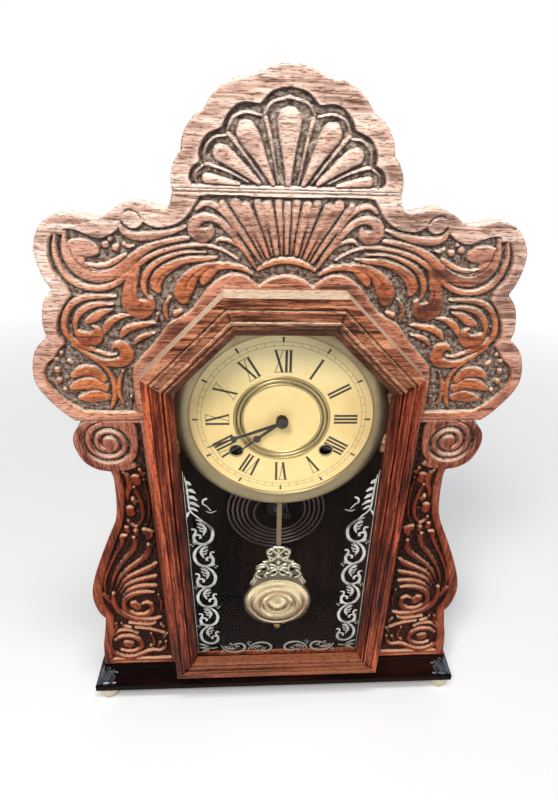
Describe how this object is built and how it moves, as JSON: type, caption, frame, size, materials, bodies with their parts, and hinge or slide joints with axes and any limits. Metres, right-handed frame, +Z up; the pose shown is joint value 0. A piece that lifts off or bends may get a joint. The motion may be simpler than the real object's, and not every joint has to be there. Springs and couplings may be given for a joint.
{
  "type": "table clock",
  "caption": "Shelf clock with a carved, lobed wooden front and shell crest, an octagon-top glazed door, a pendulum, a coiled gong and a spring-driven striking movement",
  "frame": {"origin": "On the floor plane under the middle of the clock, centred between its sides and between the door face and the back board", "axes": "+Z up the clock, +Y from the dial towards the back board, +X to the right seen from the front"},
  "size_m": [0.385, 0.117, 0.588],
  "materials": {
    "base_wood": "dark stained oak, satin lacquer",
    "front_wood": "red-brown stained carved oak, lacquered",
    "case_wood": "stained softwood, satin",
    "door_wood": "red-brown stained moulded wood, lacquered",
    "feet_paint": "turned wood painted cream",
    "glass": "clear window glass with a stencilled border",
    "dial_face": "yellowed cream painted sheet",
    "dial_brass": "satin beige gilt brass",
    "brass": "polished sheet brass",
    "bob_brass": "satin pale brass sheet",
    "nickel": "nickel-plated pressed sheet",
    "steel": "turned and filed steel",
    "spring_steel": "blued spring steel",
    "iron": "black lacquered cast iron",
    "black_metal": "black lacquered steel"
  },
  "bodies": {
    "case": {"feet": "feet_paint", "base_front": "base_wood", "base_sides": "base_wood", "bottom_board": "base_wood", "side_boards": "case_wood", "top_board": "case_wood", "back_board": "case_wood", "glue_blocks": "case_wood", "stile_left": "front_wood", "stile_right": "front_wood", "upper_panel": "front_wood", "crest": "front_wood", "dial_plate": "dial_face", "dial_ring": "dial_brass", "dial_screws": "dial_brass", "gong_block": "iron", "gong_coil": "spring_steel", "case_screws": "steel", "front_plate": "brass", "back_plate": "brass", "plate_pillars": "steel", "pillar_nuts": "brass", "movement_feet": "brass", "mainsprings": "spring_steel", "suspension_post": "brass", "case_hinges": "brass"},
    "door": {"door_bottom_rail": "door_wood", "door_side_rails": "door_wood", "door_corner_rails": "door_wood", "door_top_rail": "door_wood", "door_glass": "glass", "glass_stops": "door_wood", "door_hinges": "brass"},
    "centre": {"centre_wheel": "brass", "minute_hand": "black_metal", "hand_nut": "black_metal"},
    "second": {"second_wheel": "brass"},
    "great_time": {"great_wheel_time": "brass"},
    "click_time_body": {"click_time": "steel"},
    "wind_time": {"winding_arbor_time": "steel"},
    "third": {"third_wheel": "brass"},
    "escape": {"escape_wheel": "brass"},
    "verge_body": {"verge": "steel"},
    "minute": {"minute_wheel": "brass"},
    "hour": {"hour_wheel": "brass", "hour_hand": "black_metal"},
    "pendulum": {"suspension_spring": "steel", "pendulum_rod": "brass", "bob_bracket": "nickel", "bob": "bob_brass", "rating_nut": "brass"},
    "wind_strike": {"winding_arbor_strike": "steel"},
    "great_strike": {"great_wheel_strike": "brass"},
    "click_strike_body": {"click_strike": "steel"},
    "pin": {"pin_wheel": "brass"},
    "cam": {"cam_wheel": "brass"},
    "warning": {"warning_wheel": "brass"},
    "fly_body": {"fly": "brass"},
    "count": {"count_wheel": "brass"},
    "hammer_body": {"hammer": "steel"}
  },
  "joints": [
    {"name": "door_hinge", "type": "hinge", "parent": "case", "child": "door", "pos_m": [0.1057, -0.0417, 0.2], "axis": [0, 0, 1], "range_deg": [0, 100]},
    {"name": "centre_turn", "type": "hinge", "parent": "case", "child": "centre", "pos_m": [0, 0.0105, 0.34], "axis": [0, 1, 0], "continuous": true},
    {"name": "second_turn", "type": "hinge", "parent": "case", "child": "second", "pos_m": [0.02563, 0.0105, 0.33708], "axis": [0, 1, 0], "continuous": true},
    {"name": "great_time_turn", "type": "hinge", "parent": "case", "child": "great_time", "pos_m": [0.0383, 0.0105, 0.309], "axis": [0, 1, 0], "continuous": true},
    {"name": "third_turn", "type": "hinge", "parent": "case", "child": "third", "pos_m": [0.0102, 0.0105, 0.35767], "axis": [0, 1, 0], "continuous": true},
    {"name": "escape_turn", "type": "hinge", "parent": "case", "child": "escape", "pos_m": [0, 0.0105, 0.3725], "axis": [0, 1, 0], "continuous": true},
    {"name": "minute_turn", "type": "hinge", "parent": "case", "child": "minute", "pos_m": [0.0072, -0.0095, 0.32753], "axis": [0, 1, 0], "continuous": true},
    {"name": "hour_turn", "type": "hinge", "parent": "case", "child": "hour", "pos_m": [0, -0.0195, 0.34], "axis": [0, 1, 0], "continuous": true},
    {"name": "wind_time_turn", "type": "hinge", "parent": "case", "child": "wind_time", "pos_m": [0.0383, 0.0105, 0.309], "axis": [0, 1, 0], "range_deg": [0, 2700]},
    {"name": "click_time_lift", "type": "hinge", "parent": "great_time", "child": "click_time_body", "pos_m": [0.0383, 0.0075, 0.327], "axis": [0, 1, 0], "range_deg": [0, 12]},
    {"name": "pendulum_swing", "type": "hinge", "parent": "case", "child": "pendulum", "pos_m": [0, -0.0145, 0.3985], "axis": [0, 1, 0], "range_deg": [-3, 3]},
    {"name": "verge_rock", "type": "hinge", "parent": "case", "child": "verge_body", "pos_m": [0, 0.0105, 0.3945], "axis": [0, 1, 0], "range_deg": [-3.32, 3.32]},
    {"name": "pin_turn", "type": "hinge", "parent": "case", "child": "pin", "pos_m": [-0.02563, 0.0105, 0.33708], "axis": [0, 1, 0], "continuous": true},
    {"name": "great_strike_turn", "type": "hinge", "parent": "case", "child": "great_strike", "pos_m": [-0.0383, 0.0105, 0.309], "axis": [0, 1, 0], "continuous": true},
    {"name": "cam_turn", "type": "hinge", "parent": "case", "child": "cam", "pos_m": [-0.02949, 0.0105, 0.35894], "axis": [0, 1, 0], "continuous": true},
    {"name": "warning_turn", "type": "hinge", "parent": "case", "child": "warning", "pos_m": [-0.02675, 0.0105, 0.37445], "axis": [0, 1, 0], "continuous": true},
    {"name": "fly_turn", "type": "hinge", "parent": "case", "child": "fly_body", "pos_m": [-0.01975, 0.0105, 0.38657], "axis": [0, 1, 0], "continuous": true},
    {"name": "count_turn", "type": "hinge", "parent": "case", "child": "count", "pos_m": [-0.05133, -0.0085, 0.35626], "axis": [0, 1, 0], "continuous": true},
    {"name": "wind_strike_turn", "type": "hinge", "parent": "case", "child": "wind_strike", "pos_m": [-0.0383, 0.0105, 0.309], "axis": [0, 1, 0], "range_deg": [0, 2700]},
    {"name": "click_strike_lift", "type": "hinge", "parent": "great_strike", "child": "click_strike_body", "pos_m": [-0.0383, 0.0075, 0.327], "axis": [0, 1, 0], "range_deg": [0, 12]},
    {"name": "hammer_lift", "type": "hinge", "parent": "case", "child": "hammer_body", "pos_m": [0, 0.0105, 0.284], "axis": [0, 1, 0], "range_deg": [-20, 0]}
  ],
  "couplings": [
    {"joint": "second_turn", "follows": "centre_turn", "ratio": -0.30303},
    {"joint": "great_time_turn", "follows": "centre_turn", "ratio": 0.03885},
    {"joint": "third_turn", "follows": "centre_turn", "ratio": -7.5},
    {"joint": "escape_turn", "follows": "centre_turn", "ratio": 82.5},
    {"joint": "minute_turn", "follows": "centre_turn", "ratio": -0.33333},
    {"joint": "hour_turn", "follows": "centre_turn", "ratio": 0.083333},
    {"joint": "verge_rock", "follows": "pendulum_swing", "ratio": 1.1053},
    {"joint": "great_strike_turn", "follows": "pin_turn", "ratio": -0.12821},
    {"joint": "cam_turn", "follows": "pin_turn", "ratio": -8.25},
    {"joint": "warning_turn", "follows": "pin_turn", "ratio": 66},
    {"joint": "fly_turn", "follows": "pin_turn", "ratio": -550},
    {"joint": "count_turn", "follows": "pin_turn", "ratio": 0.091667}
  ]
}
